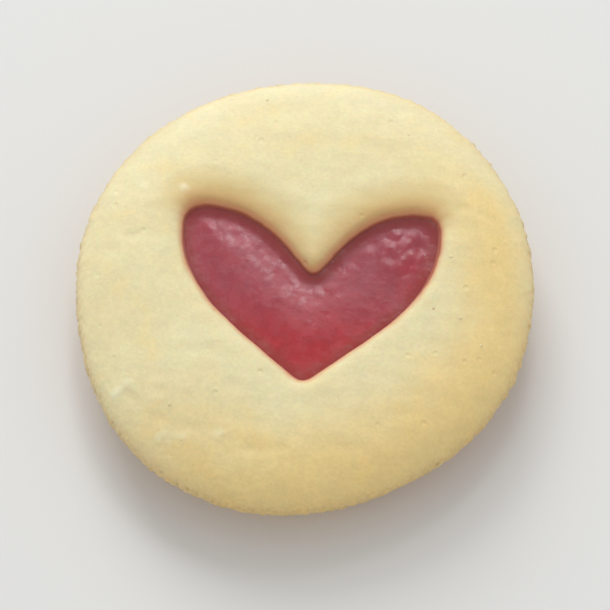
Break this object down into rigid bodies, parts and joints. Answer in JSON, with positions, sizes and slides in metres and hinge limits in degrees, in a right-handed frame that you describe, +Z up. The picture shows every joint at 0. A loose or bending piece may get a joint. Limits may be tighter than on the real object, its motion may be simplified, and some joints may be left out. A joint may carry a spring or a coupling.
{
  "type": "linzer cookie",
  "caption": "Round sandwich cookie of pale butter shortbread, with red jam between its biscuits and showing in a heart-shaped window of the upper one.",
  "frame": {"origin": "middle of the cookie's resting face", "axes": "+Z up through the cookie, -Y towards the tip of the heart"},
  "size_m": [0.051, 0.052, 0.0111],
  "materials": {
    "lower_biscuit": "baked butter shortbread, matte and slightly browned at the edge",
    "jam": "set raspberry jam, satin gloss and a little see-through",
    "upper_biscuit": "baked butter shortbread, matte, pale and smooth"
  },
  "bodies": {
    "root": {"bottom_biscuit": "lower_biscuit", "jam": "jam", "top_biscuit": "upper_biscuit"}
  },
  "joints": []
}
